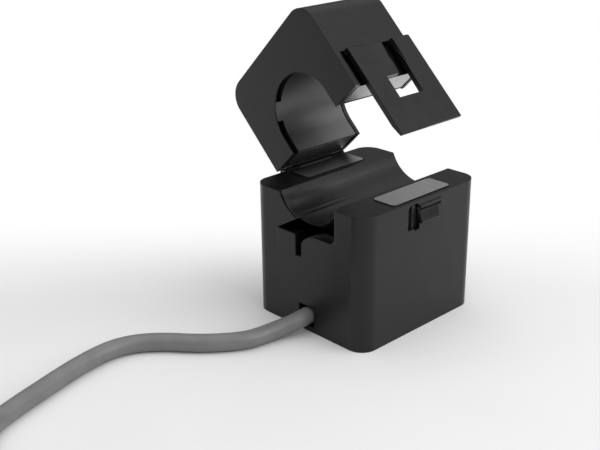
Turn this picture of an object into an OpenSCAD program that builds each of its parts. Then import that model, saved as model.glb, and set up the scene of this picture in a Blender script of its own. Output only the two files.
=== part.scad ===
// Hinged split core current sensor for an energy meter, shown with its lid open.
// Millimetres. The origin is the centre of the base's bottom face.
// X runs across the conductor hole from the hinge to the latch, Y along the conductor, Z up.
// The lid's pieces are drawn closed, then turned open about the hinge pin.

/* [Base] */
// Width of the base across the conductor
base_w = 30; // [30:0.5:34]
// Length of the base along the conductor
base_l = 33.3; // [33:0.1:38]
// Height of the base up to the parting face
base_h = 27.4; // [26.6:0.1:30]
// Thickness of the base's side walls
base_wall = 0.8; // [0.7:0.05:0.9]
// Thickness of the base's top
base_top_t = 1; // [0.8:0.1:1.4]
// Radius of the base's upright corners
base_corner_r = 3.4; // [2:0.1:3.6]
// Thickness of the bottom cover
cover_t = 1.2; // [1:0.1:1.5]

/* [Conductor hole] */
// Radius of the conductor hole
bore_r = 8; // [7.4:0.1:8.1]
// Height of the hole's axis above the parting face
bore_rise = 3.1; // [2.6:0.1:3.4]
// Wall of the half round trough in the base
trough_t = 0.8; // [0.6:0.1:0.9]
// Width of the groove behind the trough's near rim
rim_groove = 0.35; // [0.2:0.05:0.5]
// How far the lid's arch is wider than the trough
arch_extra = 0.3; // [0.1:0.05:0.35]
// Wall of the lining in the lid
liner_t = 0.3; // [0.2:0.05:0.35]

/* [Cores] */
// Length of both cores along the conductor
core_l = 16.5; // [15.5:0.1:17.5]
// Width of a leg of the lower core
leg_w = 5.5; // [4.6:0.1:5.5]
// Height of the lower core's yoke
yoke_h = 5.8; // [5:0.1:6.4]
// Radius of the lower core's outer bottom corners
core_corner_r = 2; // [1:0.1:2.4]
// How far the pole faces stand above the base
pole_proud = 0.2; // [0.1:0.05:0.3]
// Radius of the pole faces' corners
pole_r = 0.9; // [0.5:0.1:1.4]
// How far the upper core can be pushed up into the lid
float_travel = 0.4; // [0.2:0.1:0.6]

/* [Winding] */
// Wall of the bobbin
bobbin_t = 0.7; // [0.5:0.1:0.9]
// Thickness of the bobbin's two end plates
flange_t = 0.8; // [0.6:0.1:1]
// Depth of the winding
winding_t = 2; // [1.4:0.1:2.2]
// Thickness of the tape round the winding
tape_t = 0.12; // [0.1:0.01:0.2]

/* [Lid] */
// Height of the lid from its parting face
lid_h = 19.7; // [19.4:0.1:21]
// How far the lid's sides stand out past the base's
lid_overhang = 0.3; // [0.2:0.1:0.5]
// Thickness of the lid's sides and roof
lid_wall = 1; // [0.9:0.1:1.1]
// Thickness of the lid's near end wall
lid_near_wall = 1.2; // [1:0.1:1.5]
// Thickness of the lid's far end wall
lid_far_wall = 0.9; // [0.8:0.1:1.2]
// Radius of the lid's two top edges
lid_top_r = 4.1; // [3:0.1:4.3]
// Distance of the lid's near face behind the base's near face
lid_set = 7.25; // [7:0.05:8]
// Angle at which the lid is shown open
open_angle = 45.3; // [40:0.1:60]

/* [Hinge] */
// Distance of the pin's axis outside the base's wall
hinge_out = 0.45; // [0.4:0.05:0.55]
// Distance of the pin's axis below the parting face
hinge_drop = 0.6; // [0.55:0.05:0.8]
// Radius of the hinge pin
pin_r = 0.5; // [0.4:0.05:0.55]
// Radius of the knuckles
knuckle_r = 0.95; // [0.9:0.05:1]
// Length of each of the base's two knuckles
base_knuckle_l = 3.8; // [3:0.1:4.5]
// Height of the lid's strap above the pin's axis
strap_h = 2.7; // [2:0.1:4]

/* [Latch] */
// Thickness of the latch plate
latch_t = 1.1; // [0.9:0.1:1.3]
// Reach of the latch plate above the parting face
latch_up = 7.3; // [6.5:0.1:8]
// Reach of the latch plate below the parting face
latch_down = 12.1; // [10:0.1:13]
// Height of the strip that joins the latch plate to the lid
latch_root_h = 0.8; // [0.6:0.1:1.2]
// Width of the catch on the base
catch_w = 5.8; // [4.5:0.1:6]
// How far the catch stands out of the base's wall
catch_out = 0.6; // [0.6:0.1:1]
// Depth of the catch's flat underside below the parting face
catch_drop = 4.7; // [4.2:0.1:5.2]

/* [Lead] */
// Diameter of the lead
lead_d = 3.5; // [3.1:0.1:3.6]
// Height of the lead's axis where it leaves the base
lead_z = 3.15; // [3.1:0.05:3.4]
// Thickness of the circuit board
board_t = 1; // [0.8:0.1:1.2]
// Thickness of the strap that ties the coiled lead
tie_t = 0.35; // [0.2:0.05:0.4]

/* [Hidden] */
$fn = 64;
cut = 1; // how far a cut runs past a face

// Clearances between pieces
seat_gap = 0.05; // a piece and what carries it
slip_gap = 0.1; // a piece that drops into a pocket
pin_gap = 0.03; // the pin in its holes
parting_gap = 0.1; // the closed lid and the base
knuckle_gap = 0.15; // a knuckle and what turns beside it
wrap_gap = 0.02; // the tape and the winding

// Base
base_x = base_w / 2;
base_y = base_l / 2;
base_in_x = base_x - base_wall;
base_in_y = base_y - base_wall;
bore_z = base_h + bore_rise;
trough_r = bore_r + trough_t;
rim_lip = 0.15; // the trough's near rim, in front of its groove

// Lid and cores along the conductor
core_near_gap = 0.6;
core_far_gap = 0.1;
lid_l = lid_near_wall + core_near_gap + core_l + core_far_gap + lid_far_wall;
lid_y0 = lid_set - base_y;
lid_y1 = lid_y0 + lid_l;
core_y0 = lid_y0 + lid_near_wall + core_near_gap;
core_y1 = core_y0 + core_l;
core_mid_y = (core_y0 + core_y1) / 2;

// Lower core, bobbin and winding, stacked up from the bottom cover
leg_out = base_in_x - slip_gap;
leg_in = leg_out - leg_w;
bobbin_gap = 0.15;
flange_lip = 0.3; // the end plates reach past the winding
flange_lift = 0.3; // the end plates lie above the bottom cover
stack = bobbin_gap + bobbin_t + winding_t + flange_lip;
core_z0 = cover_t + flange_lift + stack;
yoke_z1 = core_z0 + yoke_h;
pole_z = base_h + pole_proud;
bobbin_x = leg_in - 0.2;
winding_x = bobbin_x - flange_t - slip_gap;
flange_y0 = core_y0 - stack;
flange_z1 = yoke_z1 + stack;
pad_in = 0.6; // the pads lie this far inside the legs

// Circuit board and what it carries, in front of the bobbin
board_y1 = flange_y0 - 0.4;
board_y0 = board_y1 - board_t;
board_z1 = flange_z1 + 1;
terminal_r = 0.35;
terminal_x = bobbin_x - flange_t / 2;
board_x = terminal_x + 1;
terminal_z = [core_z0 - 1.6, yoke_z1 + 1.5];
terminal_in = 0.8;
hole_gap = 0.1; // a wire in its hole in the board
wire_r = 0.15;
wire_x = 6;
wire_z = yoke_z1 + 0.5;
resistor_r = 1.1;
resistor_l = 6;
resistor_lead = 0.3;
resistor_x = 4.5;
resistor_y = board_y0 - resistor_r - 0.45;
resistor_z = yoke_z1 + 0.6;
diode = [5, 2.2, 2.2];
diode_z = 7.4;

// Lead, its two cores and its clamp
lead_r = lead_d / 2;
core_wire_r = 0.55;
core_wire_x = 0.8;
lead_in_y = board_y0 - 0.5;
cradle_x = 5.2;
cradle_l = 1.4;
cradle_y1 = board_y0 - 1;
cradle_y0 = cradle_y1 - cradle_l;
clamp_h = 2.6;
screw_x = 3.7;
screw_r = 0.6;
screw_head_r = 0.95;
screw_head_h = 0.7;
notch_x = lead_r + 0.35;
notch_z = lead_z + lead_r + 0.5;

// Window in the near wall under the trough, as X and Z of its corners
win_left = -2.7;
win_right = sqrt(pow(bore_r, 2) - pow(bore_rise, 2)) + 0.125;
win_foot = base_h - 12.1;
win_slit = 1.3;
win_sill = base_h - 7;
win_round = [4.8, 2.6]; // the sill's left corner is a quarter of an ellipse
win_corner = 0.9;
win_depth = 6.5; // depth of the pocket behind the window, under the trough
trough_set = 1; // the trough starts this far behind the near face where the window lies
pocket_wall = 0.6; // wall of the pocket
tab_left = -7.8;
tab_top = base_h - 7.5;
tab_proud = 0.3;
wedge_top = bore_z - bore_r + 0.4;

// Slot and catch in the latch side
catch_y0 = lid_y0 + 7.7;
slot_y0 = catch_y0 - 2.95;
slot_y1 = catch_y0 + 0.5;
slot_foot = [base_h - 5.5, base_h - 5.9];
slot_top = base_h - 0.5;
slot_rib = 0.25;
slot_rib_set = 0.5;
slot_r = 0.8;
ridge_z = base_h - 1.65;
ridge_h = 0.55;
ridge_out = 0.25;
ridge_extra = 0.9;
groove_z = ridge_z - 0.65; // a groove lies under the ridge, down to the top of the catch
groove_in = 0.4; // depth of this groove and of the one behind the trough's rim

// Lid, drawn closed
lid_x = base_x + lid_overhang;
lid_z0 = base_h + parting_gap;
lid_z1 = lid_z0 + lid_h;
lid_in_x = lid_x - lid_wall;
lid_roof_z = lid_z1 - lid_wall;
spring_room = float_travel + 1.25; // between the upper core and the roof, 1.25 when the springs are flat
arch_r = bore_r + arch_extra;
arch_z = bore_z + parting_gap + 0.65;
liner_r = arch_r + liner_t;
liner_y0 = core_y0 - slip_gap - 0.05;
liner_y1 = lid_y1 - lid_far_wall - 0.3;
arch_lip = 0.25; // the near wall is this thin round the arch
arch_recess = 1.3; // width of the thin part
lid_core_r = liner_r + 0.25;
lid_core_x = lid_in_x - 0.2;
lid_core_z0 = lid_z0 + 0.15;
lid_core_z1 = lid_roof_z - spring_room;
lid_core_top_r = 2.5;
lug_out = 0.5; // the lining's lug reaches past its wall
lug_z = [3.5, 6.5]; // foot and top of the lug above the arch's centre
liner_z0 = lid_z0 + 0.2;
spring_w = 4;
spring_half = 7;
spring_foot = 1.5;
spring_crown = 1.5;
spring_t = 0.25;

// Hinge
hinge_x = -base_x - hinge_out;
hinge_z = base_h - hinge_drop;
knuckle_clear = knuckle_r + knuckle_gap;
hinge_half = core_l / 2 + 0.4; // from the middle of the cores to the outer ends of the knuckles
hinge_y0 = core_mid_y - hinge_half;
hinge_y1 = core_mid_y + hinge_half;
strap_x0 = -lid_x - 0.8;

// Latch plate, drawn closed
latch_x0 = lid_x + seat_gap;
latch_x1 = latch_x0 + latch_t;
latch_z1 = lid_z0 + latch_up;
latch_z0 = lid_z0 - latch_down;
latch_y0 = lid_y0 + 2.35;
latch_y1 = lid_y1;
latch_bevel = 2.4;
latch_bevel_in = 0.5;
ledge_bevel = 0.3; // on the plate's outer top edge
latch_win_z0 = base_h - catch_drop - 0.3;
latch_win_z1 = lid_z0 - 0.3;
latch_win_y0 = catch_y0 - 0.4;
latch_win_y1 = catch_y0 + catch_w + 0.4;
slit_y = [5.2, 3.9, 3.5]; // left edge of the slit past the window's left edge, at top, half way and foot
slit_r = [7.3, 6.8]; // right edge at top and foot
ledge_y0 = lid_y0 + 7;
ramp_h = 5.4;
side_slit = 1.3; // the near slit starts this far from the lid's near face
wall_cut_y1 = latch_win_y0 + slit_r[0] + 0.6; // the lid's wall is open behind the plate up to here

// Route of the free lead on the table, after it leaves the base
lead_route = [
    [0, -18.4, 3.05], [-0.5, -20.4, 2.6], [-1.3, -22.6, 2.1], [-1.9, -24.9, 1.85], [-2.3, -27.2, 1.75],
    [-2.9, -29.6, 1.75], [-4.1, -31.8, 1.75], [-5.7, -34, 1.75], [-7.7, -36.3, 1.75], [-9.9, -38.4, 1.75],
    [-12.2, -40.3, 1.75], [-14.3, -42.4, 1.75], [-16.1, -44.7, 1.75], [-17.4, -47.4, 1.75],
    [-18, -50.3, 1.75], [-17.9, -53.3, 1.75], [-17.4, -56.8, 1.75], [-16.6, -60.3, 1.75],
    [-15.6, -63.9, 1.75], [-14.5, -67.6, 1.75], [-13.4, -71.3, 1.75], [-12.1, -75.2, 1.75],
    [-11.4, -77.03, 1.75], [-10.3, -78.94, 1.8], [-8.95, -80.66, 1.9], [-7.33, -82.14, 2.05],
    [-5.7, -83.22, 2.15]];
lead_sides = 8;

// Coil of the lead that the view does not reach
coil_c = [-14, -109.6];
coil_out = 27;
coil_start = 60; // angle at which the lead joins the coil
coil_turns = 6.5;
coil_pitch = 4;
coil_climb = 3.95;
coil_sides = 6;
coil_rings = 24;
coil_z = 2.15;
coil_steps = coil_turns * coil_rings;
tie_angle = 120;
tie_w = 2.5;
tie_r = [13.75, 26.25];
tie_top = coil_z + coil_climb + 1.85;

// Tail of the lead beyond the coil, and its stripped end
tail_route = [
    [-33.3, -129.6, 6], [-36.1, -127.5, 5.55], [-38.7, -125, 4.8], [-40.6, -122, 3.9], [-42.1, -118.7, 3],
    [-43, -115.2, 2.25], [-43.4, -111.7, 1.85], [-43.5, -109.6, 1.75], [-43.5, -107, 1.75],
    [-43.5, -104.4, 1.75]];
boot_l = 4;
boot_tip_r = 1.3;
end = tail_route[len(tail_route) - 1];
end_core_route = [
    [0.6, 4, 0], [0.6, 6, 0], [1.2, 9.5, -0.3], [2, 13, -0.6], [2.3, 16, -0.65], [2.3, 18, -0.65]];
collar_r = 1.1;
collar_l = 2.4;
ferrule_r = 0.7;
ferrule_l = 6;

// A flat outline with X across and Z up, extruded along Y
module along_y(y0, y1) {
    translate([0, y1, 0]) rotate([90, 0, 0]) linear_extrude(y1 - y0) children();
}

// A flat outline with Y across and Z up, extruded along X
module along_x(x0, x1) {
    translate([x0, 0, 0]) rotate([90, 0, 90]) linear_extrude(x1 - x0) children();
}

// A round bar along Y
module bar_y(r, y0, y1) {
    translate([0, y1, 0]) rotate([90, 0, 0]) cylinder(h = y1 - y0, r = r);
}

// A round bar along X
module bar_x(r, x0, x1) {
    translate([x0, 0, 0]) rotate([0, 90, 0]) cylinder(h = x1 - x0, r = r);
}

// A box from its lowest corner to its highest corner
module span(a, b) {
    translate(a) cube(b - a);
}

// A rectangle with four round corners, about the origin
module round_rect(x, y, r) {
    square([2 * x, 2 * (y - r)], center = true);
    square([2 * (x - r), 2 * y], center = true);
    for (sx = [-1, 1], sy = [-1, 1]) translate([sx * (x - r), sy * (y - r)]) circle(r);
}

// A rectangle from z0 to z1 with its two top corners round
module round_top(x, z0, z1, r) {
    translate([-x, z0]) square([2 * x, z1 - z0 - r]);
    translate([-x + r, z0]) square([2 * (x - r), z1 - z0]);
    for (s = [-1, 1]) translate([s * (x - r), z1 - r]) circle(r);
}

// An arch: a half circle about a centre at height zc, with straight sides down to z0
module arch(r, zc, z0) {
    translate([0, zc]) circle(r);
    translate([-r, z0]) square([2 * r, zc - z0]);
}

// Moves a closed lid piece to its open place
module opened() {
    translate([hinge_x, 0, hinge_z]) rotate([0, -open_angle, 0]) translate([-hinge_x, 0, -hinge_z]) children();
}

// A tube along a list of points, from rings of points joined by triangles.
// Each ring is square to the path, which never runs upright.
function unit(v) = v / norm(v);
function path_dir(p, i) = unit(p[min(i + 1, len(p) - 1)] - p[max(i - 1, 0)]);
function ring_side(t) = unit(cross(t, [0, 0, 1]));
function ring(c, t, r, n) = let (s = ring_side(t), u = cross(s, t))
    [for (k = [0:n - 1]) c + r * (cos(360 * k / n) * s + sin(360 * k / n) * u)];
module tube(p, r, n) {
    rings = len(p);
    points = [for (i = [0:rings - 1]) each ring(p[i], path_dir(p, i), r, n)];
    sides = [for (i = [0:rings - 2], k = [0:n - 1])
        let (a = i * n + k, b = i * n + (k + 1) % n)
        each [[a, b, b + n], [a, b + n, a + n]]];
    first = [for (k = [1:n - 2]) [0, k + 1, k]];
    top = (rings - 1) * n;
    last = [for (k = [1:n - 2]) [top, top + k, top + k + 1]];
    polyhedron(points = points, faces = concat(sides, first, last));
}

// Coil: spirals in on the table and out again one layer up, and climbs in the half turn where it reverses
function coil_r(n) = coil_out - coil_pitch * min(n, coil_turns - n);
function coil_h(n) = coil_z + coil_climb * min(1, max(0, (n - coil_turns / 2) * 2 + 0.5));
function coil_angle(n) = coil_start - 360 * n;
function coil_point(n) = [coil_c.x + coil_r(n) * cos(coil_angle(n)),
                          coil_c.y + coil_r(n) * sin(coil_angle(n)), coil_h(n)];
function coil_dir(n) = [sin(coil_angle(n)), -cos(coil_angle(n)), 0];
coil_first = coil_point(0) - lead_d * coil_dir(0);
coil_last = coil_point(coil_turns) + lead_d * coil_dir(coil_turns);
function coil_points() = concat([coil_first], [for (i = [0:coil_steps]) coil_point(i / coil_rings)], [coil_last]);
function coil_gap(p) = min([for (i = [0:len(p) - 1], j = [i + coil_rings / 2:1:len(p) - 1])
    norm(p[i] - p[j])]) - lead_d;
function path_l(p) = len(p) < 2 ? 0 : norm(p[1] - p[0]) + path_l([for (i = [1:len(p) - 1]) p[i]]);

// Moulded base: walls, top and trough in one shell that is open below
module base_housing() {
    color([0.06, 0.06, 0.065]) difference() {
        union() {
            difference() {
                linear_extrude(base_h) round_rect(base_x, base_y, base_corner_r);
                translate([0, 0, -cut]) linear_extrude(base_h - base_top_t + cut)
                    round_rect(base_in_x, base_in_y, base_corner_r - base_wall);
            }
            intersection() {
                translate([0, 0, bore_z]) bar_y(trough_r, -base_y, base_y);
                span([-base_x, -base_y, 0], [base_x, base_y, base_h]);
            }
            span([tab_left, -base_y - tab_proud, win_foot], [win_left, -base_y + base_wall, tab_top]);
            along_y(-base_y + base_wall / 2, -base_y + win_depth + pocket_wall)
                window_outline(pocket_wall, base_h - base_top_t / 2);
            cover_stops();
            base_knuckles();
            catch_nose();
        }
        translate([0, 0, bore_z]) bar_y(bore_r, -base_y - cut, base_y + cut);
        translate([0, 0, bore_z]) bar_y(bore_r + groove_in, -base_y + rim_lip, -base_y + rim_lip + rim_groove);
        pole_windows();
        near_window();
        span([-notch_x, -base_y - cut, -cut], [notch_x, -base_in_y + cut, notch_z]);
        latch_slot();
        span([base_x - groove_in, slot_y1 - cut / 2, groove_z],
             [base_x + cut, catch_y0 + catch_w + ridge_extra, ridge_z]);
        translate([hinge_x, 0, hinge_z]) {
            bar_y(knuckle_clear, hinge_y0 + base_knuckle_l, hinge_y1 - base_knuckle_l);
            bar_y(pin_r + pin_gap, hinge_y0 - cut, hinge_y1 + cut);
        }
    }
}

// Four small blocks inside the long walls that the bottom cover stops against
module cover_stops() {
    for (s = [-1, 1], y = [core_y0 - 4, core_y1 + 3])
        translate([s * (base_in_x - 0.3) - 0.6, y, cover_t + slip_gap]) cube([1.2, 1.2, 2.5]);
}

// The base's two hinge knuckles
module base_knuckles() {
    translate([hinge_x, 0, hinge_z]) {
        bar_y(knuckle_r, hinge_y0, hinge_y0 + base_knuckle_l);
        bar_y(knuckle_r, hinge_y1 - base_knuckle_l, hinge_y1);
    }
}

// Catch on the latch side: a thin ridge, a ramp and a flat underside
module catch_nose() {
    along_y(catch_y0, catch_y0 + catch_w) polygon([
        [base_x - base_wall / 2, base_h - catch_drop],
        [base_x + catch_out, base_h - catch_drop],
        [base_x + catch_out, base_h - catch_drop + 0.2],
        [base_x + 0.05, groove_z],
        [base_x - base_wall / 2, groove_z]]);
    span([base_x - base_wall / 2, catch_y0, ridge_z],
         [base_x + ridge_out, catch_y0 + catch_w + ridge_extra, ridge_z + ridge_h]);
}

// Openings in the base's top for the core's two legs
module pole_windows() {
    for (s = [-1, 1]) translate([s * (leg_in + leg_out) / 2, core_mid_y, base_h - base_top_t - cut])
        linear_extrude(base_top_t + 2 * cut)
            round_rect(leg_w / 2 + seat_gap, core_l / 2 + slip_gap, pole_r);
}

// Window in the near wall and the pocket behind it. The trough's shell stays above the pocket, with an edge
// that slopes back under it.
module near_window() {
    difference() {
        along_y(-base_y - cut, -base_y + win_depth) window_outline(0, base_h + cut);
        translate([0, -base_y + trough_set, bore_z]) rotate([-90, 0, 0]) {
            cylinder(h = trough_t, r1 = bore_r, r2 = trough_r);
            translate([0, 0, trough_t]) cylinder(h = win_depth, r = trough_r);
        }
    }
}

// Outline of the stepped window in the near wall and of the pocket behind it, which is wider by grow all round
module window_outline(grow, top) {
    slit_x = win_left + win_slit;
    polygon(concat(
        [[win_left - grow, top], [win_left - grow, win_foot - grow], [slit_x + grow, win_foot - grow]],
        [for (a = [180:-15:90]) [slit_x + win_round.x + (win_round.x - grow) * cos(a),
                                 win_sill - win_round.y + (win_round.y - grow) * sin(a)]],
        [[win_right - win_corner, win_sill - grow], [win_right + grow, win_sill + win_corner - grow],
         [win_right + grow, top]]));
    polygon([[tab_left - 3 * grow, tab_top - grow], [win_left + 0.01, tab_top - grow],
             [win_left + 0.01, wedge_top + grow]]);
}

// Slot beside the catch, with a thin set back rib in its middle
module latch_slot() {
    mid = (slot_y0 + slot_y1) / 2;
    along_x(base_in_x - cut, base_x + cut) {
        slot_half(slot_y0, mid - slot_rib / 2, slot_foot[0], slot_r, 0);
        slot_half(mid + slot_rib / 2, slot_y1, slot_foot[1], 0, slot_r);
    }
    span([base_x - slot_rib_set, mid - slot_rib / 2 - 0.05, slot_foot[0]],
         [base_x + cut, mid + slot_rib / 2 + 0.05, slot_top]);
}

// One half of the slot, with a bevel at the top of its outer side
module slot_half(y0, y1, foot, bevel_0, bevel_1) {
    polygon([[y0, foot], [y1, foot], [y1, slot_top - bevel_1], [y1 - bevel_1, slot_top],
             [y0 + bevel_0, slot_top], [y0, slot_top - bevel_0]]);
}

// Bottom cover: a flush plate with a tongue under the lead and the cradle that holds it
module bottom_cover() {
    color([0.07, 0.07, 0.075]) difference() {
        union() {
            linear_extrude(cover_t) union() {
                round_rect(base_in_x - slip_gap, base_in_y - slip_gap, base_corner_r - base_wall - slip_gap);
                translate([-notch_x + slip_gap, -base_y]) square([2 * (notch_x - slip_gap), base_l / 4]);
            }
            span([-cradle_x, cradle_y0, cover_t / 2], [cradle_x, cradle_y1, lead_z]);
        }
        translate([0, 0, lead_z]) bar_y(lead_r + seat_gap, cradle_y0 - cut, cradle_y1 + cut);
        for (s = [-1, 1]) translate([s * screw_x, (cradle_y0 + cradle_y1) / 2, cover_t])
            cylinder(h = lead_z, r = screw_r + seat_gap / 2);
    }
}

// Lower core: a U of ground steel whose two leg ends are the pole faces
module base_core() {
    color([0.62, 0.62, 0.62]) intersection() {
        along_y(core_y0, core_y1) difference() {
            translate([0, core_z0 + pole_z]) rotate(180) round_top(leg_out, core_z0, pole_z, core_corner_r);
            translate([-leg_in, yoke_z1]) square([2 * leg_in, base_h]);
        }
        union() {
            span([-leg_out, core_y0, core_z0], [leg_out, core_y1, base_h - base_top_t - cut]);
            for (s = [-1, 1]) translate([s * (leg_in + leg_out) / 2, core_mid_y, yoke_z1])
                linear_extrude(base_h) round_rect(leg_w / 2, core_l / 2, pole_r);
        }
    }
}

// Two blocks on the bottom cover that carry the core's legs
module core_pads() {
    color([0.12, 0.12, 0.12]) for (s = [-1, 1])
        translate([s * (leg_in + leg_out) / 2, core_mid_y, cover_t])
            linear_extrude(core_z0 - cover_t - seat_gap)
                round_rect(leg_w / 2 - pad_in, core_l / 2 - 2, 0.5);
}

// Cross section through bobbin, winding or tape, as a frame round the yoke
module yoke_frame(inner, outer) {
    difference() {
        translate([core_y0 - outer, core_z0 - outer]) square([core_l + 2 * outer, yoke_h + 2 * outer]);
        translate([core_y0 - inner, core_z0 - inner]) square([core_l + 2 * inner, yoke_h + 2 * inner]);
    }
}

// Bobbin: a square tube round the yoke with an end plate at each leg
module base_bobbin() {
    color([0.85, 0.84, 0.78]) difference() {
        union() {
            along_x(-bobbin_x, bobbin_x) yoke_frame(bobbin_gap, bobbin_gap + bobbin_t);
            for (x = [-bobbin_x, bobbin_x - flange_t])
                along_x(x, x + flange_t) yoke_frame(bobbin_gap, stack);
        }
        for (s = [-1, 1], z = terminal_z)
            translate([s * terminal_x, 0, z]) bar_y(terminal_r - 0.1, flange_y0 - cut, flange_y0 + terminal_in);
    }
}

// Copper winding between the end plates
module secondary_winding() {
    color([0.72, 0.38, 0.18]) along_x(-winding_x, winding_x)
        yoke_frame(bobbin_gap + bobbin_t + wrap_gap, bobbin_gap + bobbin_t + winding_t);
}

// One layer of tape round the winding
module winding_tape() {
    wound = bobbin_gap + bobbin_t + winding_t + wrap_gap;
    color([0.8, 0.68, 0.2]) along_x(-winding_x, winding_x) yoke_frame(wound, wound + tape_t);
}

// The winding's two ends, from the tape through the board
module winding_leads() {
    tape_y = core_y0 - bobbin_gap - bobbin_t - winding_t - tape_t - 2 * wrap_gap;
    color([0.75, 0.35, 0.15]) for (s = [-1, 1])
        translate([s * wire_x, 0, wire_z]) bar_y(wire_r, board_y0 - 0.3, tape_y);
}

// Four pins in the bobbin's end plates that carry the board
module solder_terminals() {
    color([0.8, 0.8, 0.78]) for (s = [-1, 1], z = terminal_z) translate([s * terminal_x, 0, z]) {
        bar_y(terminal_r - 0.1 - seat_gap / 2, flange_y0 - seat_gap, flange_y0 + terminal_in - seat_gap);
        bar_y(terminal_r, board_y0 - 0.7, flange_y0 - seat_gap);
    }
}

// Circuit board, stood up in front of the bobbin
module circuit_board() {
    color([0.1, 0.36, 0.16]) difference() {
        span([-board_x, board_y0, cover_t + seat_gap], [board_x, board_y1, board_z1]);
        for (s = [-1, 1]) {
            for (z = terminal_z) translate([s * terminal_x, 0, z])
                bar_y(terminal_r + hole_gap, board_y0 - cut, board_y1 + cut);
            translate([s * wire_x, 0, wire_z]) bar_y(wire_r + hole_gap, board_y0 - cut, board_y1 + cut);
            translate([s * resistor_x, 0, resistor_z])
                bar_y(resistor_lead + hole_gap, board_y0 - cut, board_y1 + cut);
            translate([s * core_wire_x, 0, lead_z])
                bar_y(core_wire_r + hole_gap, board_y0 - cut, board_y1 + cut);
        }
    }
}

// Load resistor across the winding, with its two leads bent into the board
module burden_resistor() {
    color([0.78, 0.68, 0.5]) {
        translate([0, resistor_y, resistor_z]) {
            bar_x(resistor_r, -resistor_l / 2, resistor_l / 2);
            bar_x(resistor_lead - 0.03, -resistor_x - 0.1, resistor_x + 0.1);
        }
        for (s = [-1, 1]) translate([s * resistor_x, 0, resistor_z])
            bar_y(resistor_lead, resistor_y - 0.1, board_y1 - 0.2);
    }
}

// Two way diode that limits the voltage when the meter is unplugged
module surge_diode() {
    color([0.15, 0.15, 0.16]) translate([0, board_y0 - wrap_gap, diode_z]) {
        span([-diode.x / 2, -diode.y, -diode.z / 2], [diode.x / 2, -0.2, diode.z / 2]);
        for (s = [-1, 1]) translate([s * diode.x / 2 - 0.6, -0.6, -0.8]) cube([1.2, 0.6, 1.6]);
    }
}

// The lead's two inner cores, from the sheath's end into the board
module lead_cores() {
    color([0.75, 0.12, 0.1]) for (s = [-1, 1])
        translate([s * core_wire_x, 0, lead_z]) bar_y(core_wire_r, lead_in_y, board_y1 - 0.2);
}

// Bar that is screwed down over the lead
module cable_clamp() {
    color([0.1, 0.1, 0.1]) difference() {
        span([-cradle_x, cradle_y0, lead_z + seat_gap], [cradle_x, cradle_y1, lead_z + seat_gap + clamp_h]);
        translate([0, 0, lead_z]) bar_y(lead_r + seat_gap, cradle_y0 - cut, cradle_y1 + cut);
        for (s = [-1, 1]) translate([s * screw_x, (cradle_y0 + cradle_y1) / 2, lead_z])
            cylinder(h = clamp_h + cut, r = screw_r + seat_gap / 2);
    }
}

// The clamp's two screws
module clamp_screws() {
    color([0.7, 0.7, 0.7]) for (s = [-1, 1])
        translate([s * screw_x, (cradle_y0 + cradle_y1) / 2, lead_z + seat_gap + clamp_h]) difference() {
            union() {
                cylinder(h = screw_head_h, r = screw_head_r);
                translate([0, 0, -clamp_h - 1.4]) cylinder(h = clamp_h + 1.4 + screw_head_h / 2, r = screw_r);
            }
            span([-cut, -0.15, screw_head_h - 0.3], [cut, 0.15, screw_head_h + cut]);
        }
}

// Steel hinge pin
module hinge_pin() {
    color([0.7, 0.7, 0.72]) translate([hinge_x, 0, hinge_z])
        bar_y(pin_r, hinge_y0 + slip_gap, hinge_y1 - slip_gap);
}

// Lid cover: a shell open below, with arched end walls, a hinge knuckle and a gap behind the latch plate
module lid_cover() {
    color([0.06, 0.06, 0.065]) opened() difference() {
        union() {
            difference() {
                along_y(lid_y0, lid_y1) round_top(lid_x, lid_z0, lid_z1, lid_top_r);
                along_y(lid_y0 + lid_near_wall, lid_y1 - lid_far_wall)
                    round_top(lid_in_x, lid_z0 - cut, lid_roof_z, lid_top_r - lid_wall);
                for (y = [hinge_y0 + base_knuckle_l / 2, hinge_y1 - base_knuckle_l / 2])
                    translate([hinge_x, 0, hinge_z])
                        bar_y(knuckle_clear, y - base_knuckle_l / 2 - knuckle_gap,
                              y + base_knuckle_l / 2 + knuckle_gap);
            }
            lid_knuckle();
        }
        along_y(lid_y0 - cut, lid_y1 + cut) arch(arch_r, arch_z, lid_z0 - cut);
        along_y(lid_y0 + arch_lip, lid_y0 + lid_near_wall + cut)
            arch(arch_r + arch_recess, arch_z, lid_z0 + arch_lip);
        span([lid_in_x - cut, lid_y0 + side_slit, lid_z0 - cut], [lid_x + cut, wall_cut_y1, latch_z1 - latch_root_h]);
        span([lid_in_x - cut, lid_y0 + side_slit, lid_z0], [lid_x + cut, latch_y0, latch_z1]);
        span([lid_in_x - cut, latch_win_y0 + slit_y[0], lid_z0], [lid_x + cut, latch_win_y0 + slit_r[0], latch_z1]);
        translate([hinge_x, 0, hinge_z]) bar_y(pin_r + pin_gap, lid_y0 - cut, lid_y1 + cut);
    }
}

// The lid's hinge knuckle, with a strap up the outside of the lid's wall
module lid_knuckle() {
    y0 = hinge_y0 + base_knuckle_l + knuckle_gap;
    y1 = hinge_y1 - base_knuckle_l - knuckle_gap;
    translate([hinge_x, 0, hinge_z]) bar_y(knuckle_r, y0, y1);
    span([strap_x0, y0, hinge_z], [-lid_x + lid_wall / 2, y1, hinge_z + strap_h]);
}

// Sheet steel lining of the lid's arch, with a lug that reaches the near end wall
module lid_liner() {
    color([0.35, 0.35, 0.36]) opened() {
        along_y(liner_y0, liner_y1) liner_section(liner_z0, arch_z + liner_r, 0);
        along_y(lid_y0 + arch_lip + 0.02, core_y0 - slip_gap) intersection() {
            liner_section(arch_z + lug_z[0], arch_z + lug_z[1], lug_out);
            translate([-2 * arch_r, 0]) square([2 * arch_r, 2 * base_h]);
        }
    }
}

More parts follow.
